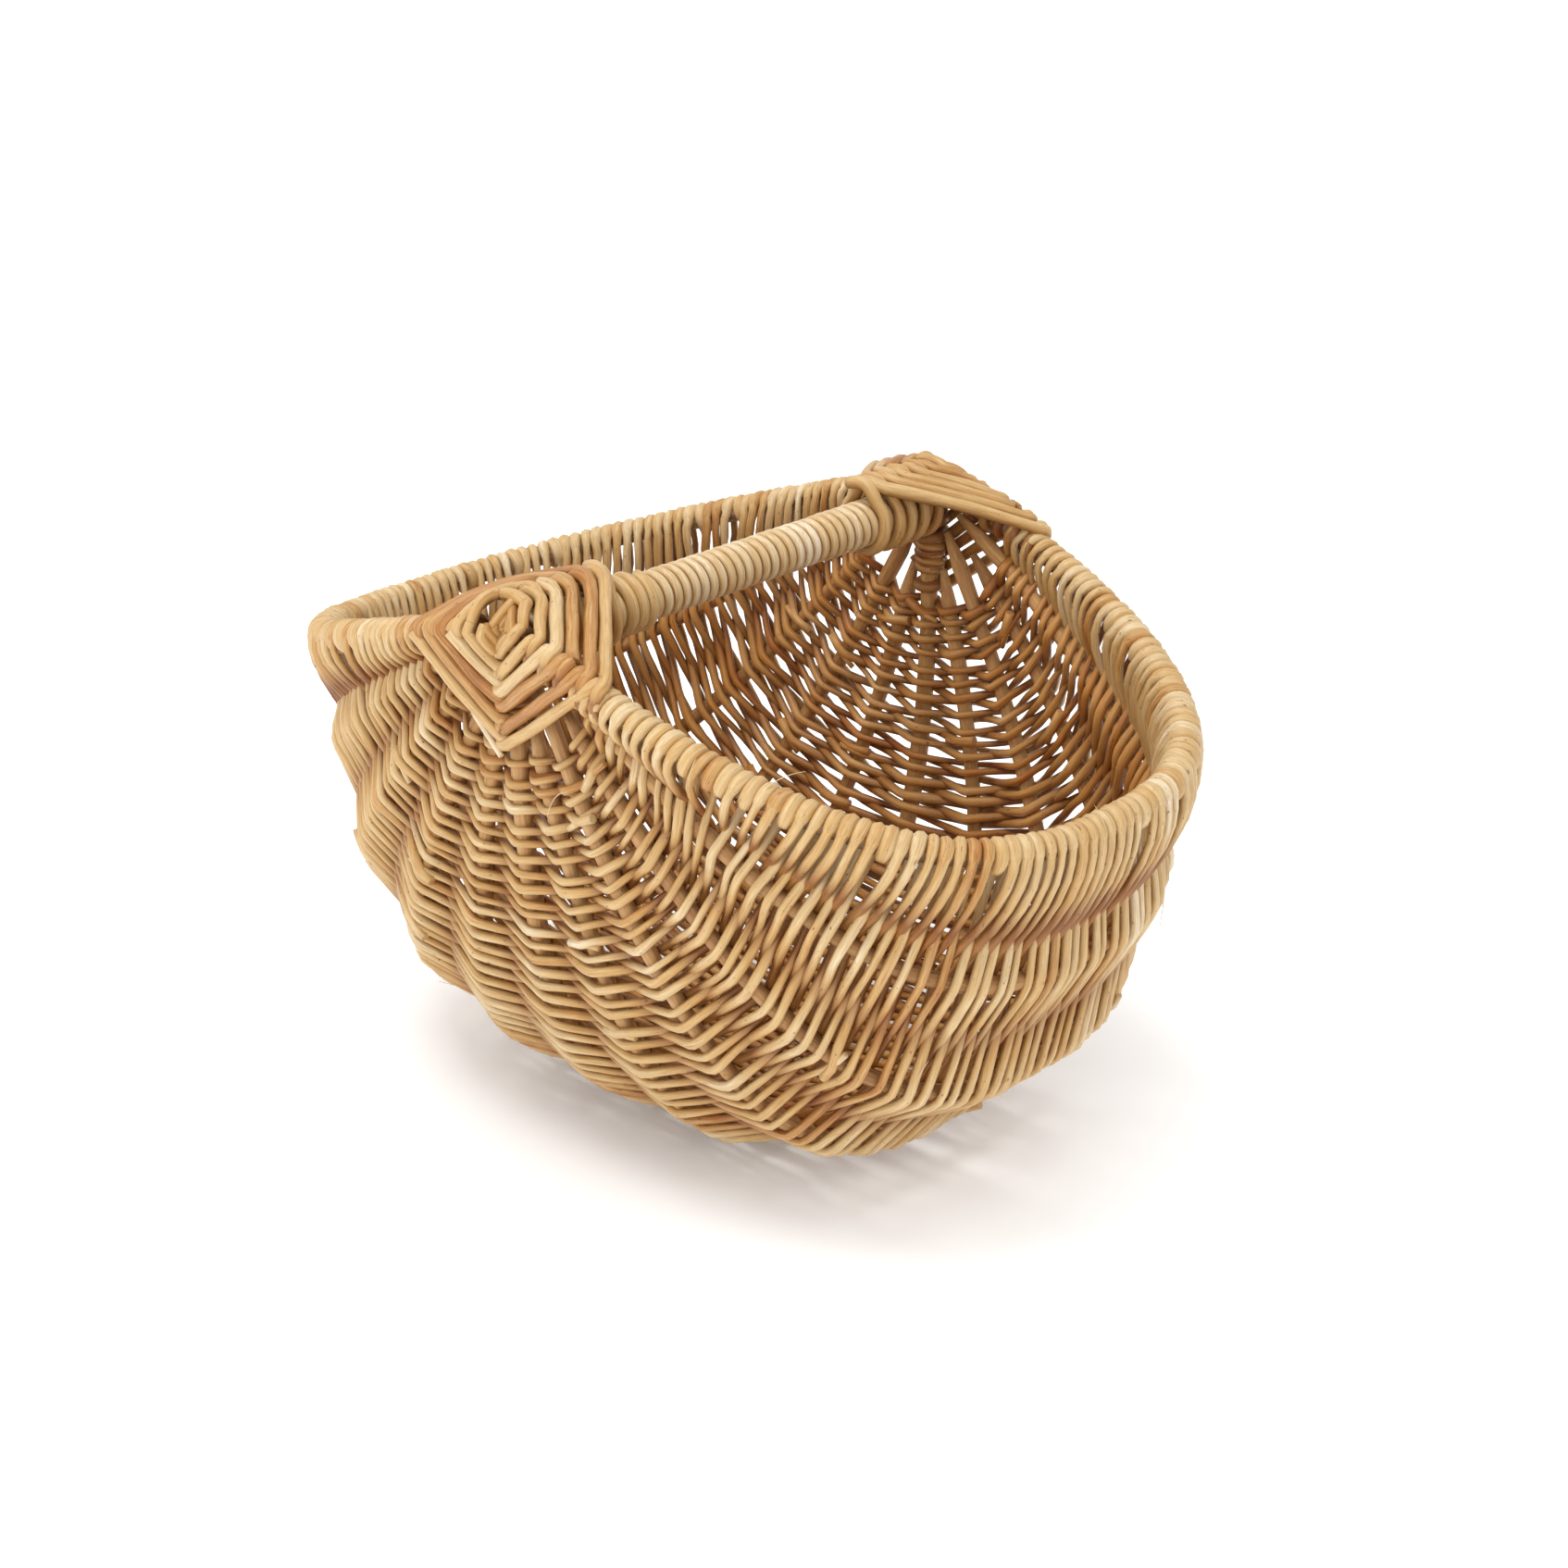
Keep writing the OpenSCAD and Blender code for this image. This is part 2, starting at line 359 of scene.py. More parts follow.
def mixNode(tree, factor, a, b, blend="MIX"):
    node = tree.nodes.new("ShaderNodeMix")
    node.data_type = "RGBA"
    node.blend_type = blend
    for name, value in (("Factor", factor), ("A", a), ("B", b)):
        socket = node.inputs[name]
        if isinstance(value, (int, float)):
            socket.default_value = value
        elif isinstance(value, tuple):
            socket.default_value = (*value, 1)
        else:
            link(tree, value, socket)
    return node.outputs["Result"]


def bumpNode(tree, shader, height, strength, distance):
    bump = tree.nodes.new("ShaderNodeBump")
    bump.inputs["Strength"].default_value = strength
    bump.inputs["Distance"].default_value = distance
    link(tree, height, bump.inputs["Height"])
    link(tree, bump.outputs["Normal"], shader.inputs["Normal"])


def willowMaterial(name, look):
    material = bpy.data.materials.new(name)
    material.use_nodes = True
    tree = material.node_tree
    shader = tree.nodes["Principled BSDF"]
    grain = attributeNode(tree, "grain").outputs["Vector"]
    tone = attributeNode(tree, "tone").outputs["Fac"]
    depth = attributeNode(tree, "depth").outputs["Fac"]
    patches = noiseNode(tree, grain, look["patches"])
    streaks = noiseNode(tree, grain, look["streaks"])
    fibres = noiseNode(tree, grain, look["fibres"])
    specks = noiseNode(tree, grain, look["specks"])
    # tone of the rod, then slow patches, then streaks along the grain
    patchPart = mathNode(tree, "MULTIPLY_ADD", patches, look["patchShare"], -look["patchShare"] / 2)
    streakPart = mathNode(tree, "MULTIPLY_ADD", streaks, look["streakShare"], -look["streakShare"] / 2)
    level = mathNode(tree, "ADD", mathNode(tree, "ADD", tone, patchPart), streakPart, clamp=True)
    colour = rampNode(tree, level, look["colours"])
    fibreTint = rampNode(tree, fibres, look["fibreTint"])
    colour = mixNode(tree, look["fibreShare"], colour, fibreTint, "MULTIPLY")
    speckMask = mathNode(tree, "MULTIPLY", rampNode(tree, specks, look["speckEdge"]), look["speckShare"])
    colour = mixNode(tree, speckMask, colour, look["speckColour"])
    # painted shade: darker and redder where the rod lies down in the weave, and a darker, warmer brown on
    # the inner side for the shade and bounce light inside the basket
    outer = rampNode(tree, depth, look["paintedShadeOuter"])
    colour = mixNode(tree, 1.0, colour, outer, "MULTIPLY")
    inward = rampNode(tree, mathNode(tree, "MULTIPLY", depth, -1.0), look["paintedShadeInner"])
    colour = mixNode(tree, 1.0, colour, inward, "MULTIPLY")
    link(tree, colour, shader.inputs["Base Color"])
    roughLow = look["roughness"] - look["roughDrop"]
    rough = mathNode(tree, "MULTIPLY_ADD", streaks, look["roughSpread"], roughLow)
    link(tree, rough, shader.inputs["Roughness"])
    shader.inputs["Specular IOR Level"].default_value = look["specular"]
    shader.inputs["Coat Weight"].default_value = look["coat"]
    shader.inputs["Coat Roughness"].default_value = look["coatRoughness"]
    height = mathNode(tree, "ADD", streaks, mathNode(tree, "MULTIPLY", fibres, look["fibreBump"]))
    bumpNode(tree, shader, height, look["bump"], look["bumpDepth"])
    return material


willowLook = {
    "colours": [
        (0.0, (0.20, 0.06, 0.010)),
        (0.2, (0.45, 0.20, 0.05)),
        (0.46, (0.60, 0.385, 0.155)),
        (0.74, (0.68, 0.51, 0.28)),
        (1.0, (0.82, 0.71, 0.53)),
    ],
    "patches": ((24, 130, 130), 3, 0.6),
    "streaks": ((42, 850, 850), 4, 0.65),
    "fibres": ((110, 2600, 2600), 3, 0.65),
    "specks": ((330, 760, 760), 2, 0.55),
    "patchShare": 1.0,
    "streakShare": 0.85,
    "fibreShare": 0.85,
    "fibreTint": [(0.3, (0.72, 0.66, 0.6)), (0.62, (1.08, 1.06, 1.02))],
    "speckShare": 0.8,
    "speckEdge": [(0.68, (0, 0, 0)), (0.74, (1, 1, 1))],
    "speckColour": (0.16, 0.07, 0.03),
    # painted shade by depth: dark and red deep in the weave, untouched on the outer tops of the rods
    "paintedShadeOuter": [(0.0, (0.40, 0.215, 0.095)), (0.5, (0.86, 0.76, 0.60)), (0.9, (1.0, 1.0, 1.0))],
    # painted shade on the inner side: lifts the darkest tint back to a warm brown
    "paintedShadeInner": [(0.0, (1.0, 1.0, 1.0)), (0.9, (2.1, 2.75, 3.5))],
    "roughness": 0.42,
    "roughSpread": 0.25,
    "roughDrop": 0.12,
    "specular": 0.36,
    "coat": 0.10,
    "coatRoughness": 0.32,
    "bump": 0.6,
    "fibreBump": 0.4,
    "bumpDepth": 0.0004,
}
willow = willowMaterial("buffWillow", willowLook)
lashingWillow = willowMaterial("lashingWillow", {**willowLook, "patchShare": 0.45, "coat": 0.16})
skeinWillow = willowMaterial("skeinWillow", {
    **willowLook,
    "patchShare": 0.6,
    "roughness": 0.34,
    "coat": 0.25,
})
ribWillow = willowMaterial("ribWillow", {
    **willowLook,
    "colours": [
        (0.0, (0.18, 0.08, 0.03)),
        (0.4, (0.46, 0.25, 0.10)),
        (0.7, (0.62, 0.385, 0.17)),
        (1.0, (0.70, 0.50, 0.28)),
    ],
    # painted shade: the ribs are darker along their flanks where the weavers cross them, and warmer on their
    # inner side
    "paintedShadeOuter": [(0.0, (0.74, 0.64, 0.52)), (0.5, (0.9, 0.87, 0.84))],
    "paintedShadeInner": [(0.0, (1.0, 1.0, 1.0)), (0.5, (1.3, 1.4, 1.5))],
    "coat": 0.0,
    "roughness": 0.6,
})

# plain ash-coloured wood of the hoop and bar, glimpsed between the wraps
hoopLook = {
    "streaks": ((60, 60, 700), 4, 0.55),
    "patches": ((30, 30, 30), 2, 0.55),
    "streakShare": 0.6,
    "patchShare": 0.4,
    "colours": [(0.3, (0.15, 0.075, 0.035)), (0.7, (0.42, 0.25, 0.12))],
    "roughness": 0.45,
    "roughSpread": 0.3,
    "bump": 0.3,
    "bumpDepth": 0.0004,
}


def hiddenWoodMaterial(name, look):
    material = bpy.data.materials.new(name)
    material.use_nodes = True
    tree = material.node_tree
    shader = tree.nodes["Principled BSDF"]
    place = tree.nodes.new("ShaderNodeTexCoord").outputs["Object"]
    streaks = noiseNode(tree, place, look["streaks"])
    patches = noiseNode(tree, place, look["patches"])
    streakPart = mathNode(tree, "MULTIPLY", streaks, look["streakShare"])
    level = mathNode(tree, "ADD", streakPart, mathNode(tree, "MULTIPLY", patches, look["patchShare"]))
    link(tree, rampNode(tree, level, look["colours"]), shader.inputs["Base Color"])
    rough = mathNode(tree, "MULTIPLY_ADD", streaks, look["roughSpread"], look["roughness"])
    link(tree, rough, shader.inputs["Roughness"])
    bumpNode(tree, shader, streaks, look["bump"], look["bumpDepth"])
    return material


hoopWood = hiddenWoodMaterial("hoopWood", hoopLook)
for node in ("rim_hoop", "handle_bar"):
    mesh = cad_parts[node].data
    mesh.materials.clear()
    mesh.materials.append(hoopWood)
print("materials ready")

# the side ribs and the keel rib, round rods with tapered ends tucked under the lashings
ribLook = {
    "sides": 12,
    "steps": 72,
    "tone": 0.5,
    "toneSpread": 0.12,
    "swells": ((31, 0.05), (83, 0.03)),  # how often and how much the rib thickens
    "wobble": 0.0006,
    "wobbleRate": 17,
    "tip": 0.0016,
    "taper": 0.016,
    "keelStart": 0.014,  # metres from the crossing to the tip
    "oddStart": 0.018,
    "evenStart": 0.034,
    "seed": 100,
}


def ribRod(j, start):
    dice = random.Random(ribLook["seed"] + j)
    rod = Rod(ribLook["tone"] + dice.uniform(-ribLook["toneSpread"], ribLook["toneSpread"]))
    size = stakeRadius(j)
    first = start / stakeLength(j)
    phase = [dice.uniform(0, 2 * math.pi) for _ in range(3)]
    for i in range(ribLook["steps"] + 1):
        t = first + (1 - 2 * first) * i / ribLook["steps"]
        fromEnd = min(t - first, 1 - first - t) * stakeLength(j)
        grown = min(1, fromEnd / ribLook["taper"])
        radius = ribLook["tip"] + (size - ribLook["tip"]) * grown
        swell = 1
        for (rate, share), shift in zip(ribLook["swells"], phase):
            swell += share * math.sin(t * rate + shift)
        sway = ribLook["wobble"] * math.sin(t * ribLook["wobbleRate"] + phase[2])
        out = outOfWall(j, t)
        rod.add(stake(j, t) + out * sway, radius * swell, out, 0.0)
    return rod


def ribNames(j):
    if j == keelStake:
        return "keelRib", "keel_rib"
    if j < keelStake:
        return "ribRight%d" % j, "rib_right_%d" % j
    return "ribLeft%d" % (leftRim - j), "rib_left_%d" % (leftRim - j)


for j in range(1, leftRim):
    name, node = ribNames(j)
    ribStart = ribLook["keelStart"] if j == keelStake else ribLook["oddStart" if j % 2 else "evenStart"]
    piece = rodPiece(name, [ribRod(j, ribStart)], ribWillow, ribLook["sides"])
    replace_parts(piece, node)
print("ribs done")

# the weave: one weaver after another, over one rib and under the next, turned over the rim
weave = {
    "rows": 152,
    "bands": 8,
    "slots": 88,  # turns round each rim half
    "slotEnds": 6,  # slots at each end that are always turns of the weaver
    "butt": 0.00215,
    "tip": 0.00165,
    "thickness": (0.86, 1.12),
    "tone": (0.59, 0.12),
    "rodStations": (19, 31),  # how many ribs one rod passes
    "rowJitter": 0.27,
    "poleThin": 0.12,
    "poleRows": 25,
    "press": 0.95,
    "sway": 0.0006,
    "tipsOutside": 0.35,
    "bayShares": (0.07, 0.17, 0.32, 0.5, 0.68, 0.83, 0.93),
    "bayStraight": 0.8,
    "bayEase": 0.2,
    "legShares": (0.12, 0.28, 0.46, 0.64, 0.82, 0.94),
    "seed": 7,
    "bendSeed": 47,
}
rimTurns = {"full": 1.7, "fullSpread": (0.9, 1.08), "start": 1.1, "outer": 0.0076, "lean": 0.45, "steps": 8}
# cut ends: the tip runs on past the rib, the butt starts before it
rodEnds = {
    "tipStep": 0.0045,
    "tip": ((0.0002, 0.9), (0.0007, 0.85)),  # how far it sinks, and its share of the radius
    "buttBack": 0.008,
    "buttSink": 0.0010,
    "buttAside": 0.0022,
    "ribAside": 0.0012,
}
weaveStart = basket["weaveStart"]
rowPitch = (1 - 2 * weaveStart) / weave["rows"]
slotPitch = (1 - 2 * weaveStart) / weave["slots"]


def rimSlots():
    # the wraps over half a rim: which of the slots are turns of the weaver and which are fillers
    ends = weave["slotEnds"]
    extra = weave["slots"] - weave["rows"] // 2
    dice = random.Random(weave["seed"])
    fillers = sorted(dice.sample(range(ends, weave["slots"] - ends), extra))
    turns = [s for s in range(weave["slots"]) if s not in fillers]
    return turns, fillers


turnSlots, fillerSlots = rimSlots()


def slotShare(s):
    return weaveStart + (s + 0.5) * (1 - 2 * weaveStart) / weave["slots"]


def passesOutside(k, j):
    return (k + j) % 2 == 0


def station(k, j, jitter):
    # where row k meets stake j, and the way out of the wall there
    t = weaveStart + (k + 0.5) * rowPitch + jitter * rowPitch
    return stake(j, t), outOfWall(j, t), t


def standOff(k, j, radius):
    return (stakeRadius(j) + radius * weave["press"]) * (1 if passesOutside(k, j) else -1)


def roundRim(j, at, turn):
    # the hoop's middle and the way out of it, turned from the outer side of the wall over the top
    centre = stake(j, at)
    tangent = alongStake(j, at)
    toRib = stake(1 if j == 0 else leftRim - 1, at) - centre
    toRib = (toRib - tangent * toRib.dot(tangent)).normalized()
    out = outOfWall(j, at)
    out = (out - toRib * out.dot(toRib) - tangent * out.dot(tangent)).normalized()
    return centre, out * math.cos(turn) - toRib * math.sin(turn)


def rimTurn(k, j, radius, full):
    # the turn over the rim between row k and row k + 1, from the side where row k arrives
    pair = k // 2 if j == 0 else (k + 1) // 2
    t = slotShare(turnSlots[min(pair, len(turnSlots) - 1)])
    first, last = (0.0, math.pi) if j == 0 else (math.pi, 0.0)
    low = rimTurns["start"]
    points = []
    for i in range(rimTurns["steps"] + 1):
        share = i / rimTurns["steps"]
        size = radius * (low + (full - low) * math.sqrt(math.sin(math.pi * share)))
        at = t + (share - 0.5) * slotPitch * rimTurns["lean"]
        centre, way = roundRim(j, at, first + (last - first) * share)
        points.append((centre + way * (rimTurns["outer"] - size), way, size))
    return points


def weaverPath():
    # row by row, the stakes in the order that the weaver meets them, each with its own unevenness
    dice = random.Random(weave["seed"] + 1)
    jitter = weave["rowJitter"]
    for k in range(weave["rows"]):
        order = range(leftRim, -1, -1) if k % 2 == 0 else range(leftRim + 1)
        rowShift = dice.uniform(-jitter, jitter)
        yield k, [(j, rowShift + dice.uniform(-jitter, jitter)) for j in order]


def startRod(k, dice):
    fresh = Rod(pickTone(dice, *weave["tone"]))
    fresh.scale = dice.uniform(*weave["thickness"])
    fresh.tipOutside = dice.random() < weave["tipsOutside"]
    fresh.life = dice.randint(*weave["rodStations"])
    fresh.age = 0
    fresh.row = k
    return fresh


def radiusNow(rod, k):
    # from butt to tip along the rod, and a little thinner near the crossings
    share = min(rod.age / rod.life, 1.0)
    nearPole = 1 - weave["poleThin"] * (1 - min(1, min(k, weave["rows"] - k) / weave["poleRows"]))
    return (weave["butt"] + (weave["tip"] - weave["butt"]) * share) * rod.scale * nearPole


def crossBay(rod, radius, start, end, drift):
    # from one rib to the next, nearly straight, easing off the first and on to the second
    fromCentre, fromNormal, fromHeight = start
    centre, normal, height = end
    for u in weave["bayShares"]:
        s = weave["bayStraight"] * u + weave["bayEase"] * u * u * (3 - 2 * u)
        base = fromCentre.lerp(centre, u) + drift * (4 * u * (1 - u))
        n = fromNormal.lerp(normal, u).normalized()
        lift = fromHeight + (height - fromHeight) * s
        rod.add(base + n * lift, radius, n, lift)


def addLeg(rod, end, normal, radius, startHeight, endHeight, tangentIn=None, tangentOut=None):
    # a smooth leg between a rib and the rim, bent like a stiff rod
    start = rod.points[-1]
    span = (end - start).length
    chord = (end - start) / max(span, 1e-6)
    a = tangentIn or chord
    b = tangentOut or chord
    for u in weave["legShares"]:
        h00 = 2 * u ** 3 - 3 * u ** 2 + 1
        h10 = u ** 3 - 2 * u ** 2 + u
        h01 = -2 * u ** 3 + 3 * u ** 2
        h11 = u ** 3 - u ** 2
        point = start * h00 + a * (span * h10) + end * h01 + b * (span * h11)
        rod.add(point, radius, normal, startHeight + (endHeight - startHeight) * h01)


def weaveRods():
    # one long run from front to rear: each rod goes on where the last one ran out
    dice = random.Random(weave["seed"] + 2)
    rods = [startRod(0, dice)]
    lastRow = weave["rows"] - 1
    for k, stations in weaverPath():
        for i, (j, jitter) in enumerate(stations):
            rod = rods[-1]
            radius = radiusNow(rod, k)
            if j in rims:
                if i and k < lastRow:  # the row has arrived, and turns over the hoop
                    full = rimTurns["full"] * dice.uniform(*rimTurns["fullSpread"])
                    for point, way, size in rimTurn(k, j, radius, full):
                        rod.add(point, size, way)
                continue
            centre, normal, t = station(k, j, jitter)
            height = standOff(k, j, radius)
            rimStand = wallHalf - radius
            fromStake, fromJitter = stations[i - 1]
            if fromStake not in rims:
                fromCentre, fromNormal, _ = station(k, fromStake, fromJitter)
                start = (fromCentre, fromNormal, standOff(k, fromStake, radius))
                drift = alongStake(j, t) * dice.gauss(0, weave["sway"])
                crossBay(rod, radius, start, (centre, normal, height), drift)
            elif rod.points:  # down from the rim
                tangentIn = (rod.points[-1] - rod.points[-2]).normalized()
                addLeg(rod, centre + normal * height, normal, radius, rimStand, height, tangentIn)
            rod.add(centre + normal * height, radius, normal, height)
            rod.age += 1
            toStake = stations[i + 1][0]
            if toStake in rims and k < lastRow:  # up to the rim
                turnPoints = rimTurn(k, toStake, radius, rimTurns["full"])
                tangentOut = (turnPoints[1][0] - turnPoints[0][0]).normalized()
                addLeg(rod, turnPoints[0][0], normal, radius, height, rimStand, tangentOut=tangentOut)
            outside = passesOutside(k, j)
            if rod.age >= rod.life and outside == rod.tipOutside and 1 < j < leftRim - 1:
                # leave this rod's cut tip proud of the rib and bring in the next one
                tangent = rod.points[-1] - rod.points[-2]
                tangent = (tangent - normal * tangent.dot(normal)).normalized()
                proud = normal * (1 if outside else -1)
                for sink, thin in rodEnds["tip"]:
                    tip = rod.points[-1] + tangent * rodEnds["tipStep"] - proud * sink
                    rod.add(tip, radius * thin, normal, height)
                along = alongStake(j, t)
                fresh = startRod(k, dice)
                size = radiusNow(fresh, k)
                besideRib = centre + proud * (stakeRadius(j) + size)
                butt = besideRib - tangent * rodEnds["buttBack"] - proud * rodEnds["buttSink"]
                fresh.add(butt + along * rodEnds["buttAside"], size, normal, height)
                fresh.add(besideRib + along * rodEnds["ribAside"], size, normal, height)
                rods.append(fresh)
    return rods


whisker = {
    "perBand": 3,
    "radius": 0.00024,
    "length": (0.007, 0.016),
    "lift": 0.0022,
    "root": 0.9,
    "aside": 0.8,
    "taper": 0.6,
    "tone": 0.85,
    "steps": 6,
    "fromEnds": 2,
    "leastPoints": 8,
}


def whiskerRod(rods, dice):
    # a fibre that has lifted off the outer side of one rod
    longRods = [rod for rod in rods if len(rod.points) > whisker["leastPoints"]]
    while True:
        rod = dice.choice(longRods)
        i = dice.randrange(whisker["fromEnds"], len(rod.points) - whisker["fromEnds"])
        if rod.heights[i] > basket["ribRadius"]:
            break
    face = rod.faces[i].normalized()
    along = (rod.points[i + 1] - rod.points[i - 1]).normalized()
    aside = along.cross(face).normalized() * dice.uniform(-whisker["aside"], whisker["aside"])
    length = dice.uniform(*whisker["length"])
    fibre = Rod(whisker["tone"])
    for step in range(whisker["steps"]):
        u = step / (whisker["steps"] - 1)
        point = rod.points[i] + face * (rod.radii[i] * whisker["root"] + whisker["lift"] * u)
        radius = whisker["radius"] * (1 - whisker["taper"] * u)
        fibre.add(point + (along + aside * u) * (length * u), radius, face)
    return fibre


allRods = weaveRods()
rowsPerBand = weave["rows"] / weave["bands"]
for band in range(weave["bands"]):
    mine = [rod for rod in allRods if int(rod.row / rowsPerBand) == band and len(rod.points) > 3]
    dice = random.Random(weave["bendSeed"] + band)
    for rod in mine:
        rod.smooth()
        rod.grow(dice)
    mine += [whiskerRod(mine, dice) for _ in range(whisker["perBand"])]
    for rod in mine:
        for point, radius in zip(rod.points, rod.radii):
            point.z = max(point.z, radius)  # nothing reaches below the floor
    piece = rodPiece("weaveBand%d" % (band + 1), mine, willow)
    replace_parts(piece, "weave_band_%d" % (band + 1))
print("weave done")

# extra turns that fill the rim between the weavers' own turns
filler = {
    "radius": 0.0032,
    "thickness": (0.93, 1.06),
    "tone": (0.55, 0.1),
    "from": -88,  # degrees round the hoop
    "round": 352,
    "lean": 0.5,
    "steps": 16,
    "seed": 900,
    "stakeSeed": 31,
}


def fillerRod(j, s):
    dice = random.Random(filler["seed"] + filler["stakeSeed"] * j + s)
    rod = Rod(pickTone(dice, *filler["tone"]))
    radius = filler["radius"] * dice.uniform(*filler["thickness"])
    reach = rimTurns["outer"] - radius
    t = slotShare(s)
    for i in range(filler["steps"] + 1):
        share = i / filler["steps"]
        turn = math.radians(filler["from"] + filler["round"] * share)
        centre, way = roundRim(j, t + (share - 0.5) * slotPitch * filler["lean"], turn)
        rod.add(centre + way * reach, radius, way)
    return rod


for j, name, node in ((0, "rimWrapRight", "rim_wrap_right"), (leftRim, "rimWrapLeft", "rim_wrap_left")):
    piece = rodPiece(name, [fillerRod(j, s) for s in fillerSlots], willow)
    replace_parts(piece, node)
print("rim wraps done")

# the grip: skein wound close along the bar
grip = {
    "turns": 46,
    "stepsPerTurn": 40,
    "profile": 9,
    "dome": 2.5,
    "groove": 0.0017,
    "bed": 0.0002,
    "skinFrom": 0.001,
    "tone": (0.71, 0.13),
    "swell": 0.00025,
    "grainDepth": 0.5,
    "grainTwist": 0.002,
    "seed": 21,
}


def gripPiece():
    dice = random.Random(grip["seed"])
    half = gripTop.y
    pitch = 2 * half / grip["turns"]
    bm = bmesh.new()
    ring = []
    # domed cross-section of one skein, seen along the bar
    for i in range(grip["profile"]):
        share = i / (grip["profile"] - 1)
        rise = 1 - abs(2 * share - 1) ** grip["dome"]
        top = barAxis + gripRadius - grip["groove"] * (1 - rise)
        ring.append(bm.verts.new((0, -half + pitch * share, top)))
    bed = barAxis + barRadius + grip["bed"]
    ring.append(bm.verts.new((0, -half + pitch, bed)))
    ring.append(bm.verts.new((0, -half, bed)))
    edges = [bm.edges.new((ring[i], ring[(i + 1) % len(ring)])) for i in range(len(ring))]
    steps = (grip["turns"] - 1) * grip["stepsPerTurn"]
    bmesh.ops.spin(bm, geom=ring + edges, cent=(0, 0, barAxis), axis=(0, 1, 0),
                   angle=2 * math.pi * (grip["turns"] - 1), steps=steps,
                   dvec=(0, pitch / grip["stepsPerTurn"], 0), use_duplicate=False)
    bmesh.ops.holes_fill(bm, edges=[e for e in bm.edges if e.is_boundary], sides=len(ring))
    bmesh.ops.recalc_face_normals(bm, faces=bm.faces)
    tones = [dice.gauss(*grip["tone"]) for _ in range(grip["turns"] + 1)]
    swell = [dice.uniform(-grip["swell"], grip["swell"]) for _ in range(grip["turns"] + 1)]
    grainLayer = bm.verts.layers.float_vector.new("grain")
    toneLayer = bm.verts.layers.float.new("tone")
    depthLayer = bm.verts.layers.float.new("depth")
    bm.verts.ensure_lookup_table()
    for vertex in bm.verts:
        radial = Vector((vertex.co.x, 0, vertex.co.z - barAxis))
        depth = radial.length
        along = (vertex.co.y + half) / pitch
        turn = max(0.0, min(grip["turns"], along))
        low = int(turn)
        high = min(low + 1, grip["turns"])
        blend = turn - low
        angle = math.atan2(vertex.co.x, vertex.co.z - barAxis)
        if depth > barRadius + grip["skinFrom"]:
            vertex.co += radial.normalized() * (swell[low] * (1 - blend) + swell[high] * blend)
        inward = depth * grip["grainDepth"] + grip["grainTwist"] * math.sin(angle)
        vertex[grainLayer] = Vector((turn * 2 * math.pi * gripRadius, (along % 1) * pitch, inward))
        vertex[toneLayer] = tones[low] * (1 - blend) + tones[high] * blend
        # painted shade: depth falls to 0 down in the grooves between turns, where the skein finish paints
        # them dark
        vertex[depthLayer] = min(1, max(0, 1 - (gripRadius - depth) / grip["groove"]))
    for face in bm.faces:
        face.smooth = len(face.verts) == 4
    mesh = bpy.data.meshes.new("gripWrap")
    bm.to_mesh(mesh)
    bm.free()
    mesh.materials.append(skeinWillow)
    piece = bpy.data.objects.new("gripWrap", mesh)
    bpy.context.scene.collection.objects.link(piece)
    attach(piece, "root")
    print("gripWrap", len(mesh.polygons), "faces")
    return piece


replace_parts(gripPiece(), "handle_wrap")

# skein round the top of the keel rib, at both ends
keelWrap = {
    "turns": 5,
    "steps": 20,
    "start": 0.017,
    "length": 0.018,
    "radius": 0.0019,
    "reach": 0.0013,
    "press": 0.8,
    "tone": 0.30,
    "height": 0.003,
}


def keelWrapRod(rear):
    rod = Rod(keelWrap["tone"])
    total = keelWrap["turns"] * keelWrap["steps"]
    reach = basket["keelRadius"] + keelWrap["reach"] * keelWrap["press"]
    for i in range(total + 1):
        share = i / total
        t = (keelWrap["start"] + keelWrap["length"] * share) / stakeLength(keelStake)
        t = 1 - t if rear else t
        turn = 2 * math.pi * keelWrap["turns"] * share
        out = outOfWall(keelStake, t)
        side = alongStake(keelStake, t).cross(out).normalized()
        way = out * math.cos(turn) + side * math.sin(turn)
        # painted shade: the fixed height makes the willow finish darken the wrap where it lies against the
        # keel rib
        rod.add(stake(keelStake, t) + way * reach, keelWrap["radius"], way, keelWrap["height"])
    return rod


for rear, name, node in (
        (False, "keelWrapFront", "keel_wrap_front"),
        (True, "keelWrapRear", "keel_wrap_rear")):
    piece = rodPiece(name, [keelWrapRod(rear)], skeinWillow)
    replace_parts(piece, node)
print("wraps done")

# the diamond lashings at both ends of the handle
eye = {
    "courses": 6,
    "rod": 0.00275,
    "innerRod": 0.0022,
    "thickness": (0.88, 1.1),
    "thinVisits": 8,  # visits to an arm until the rod is at its full size
    "flatVisits": 5,  # visits before the rod first goes round behind an arm
    "visitsPerRod": 3,
    "uneven": 0.0008,
    "stagger": 0.0019,
    "closest": 0.0005,
    "wrapSteps": 44,
    "chordSteps": 7,
    "bow": 0.0042,
    "height": 0.0042,
    "sink": (5, 30),  # degrees round the arm: where it begins, and over how many
    "rise": (325, 30),
    "slide": (305, 65),
    "firstTone": 0.5,
    "tone": (0.40, 0.13),
    "sides": 10,
    "seed": 51,
}
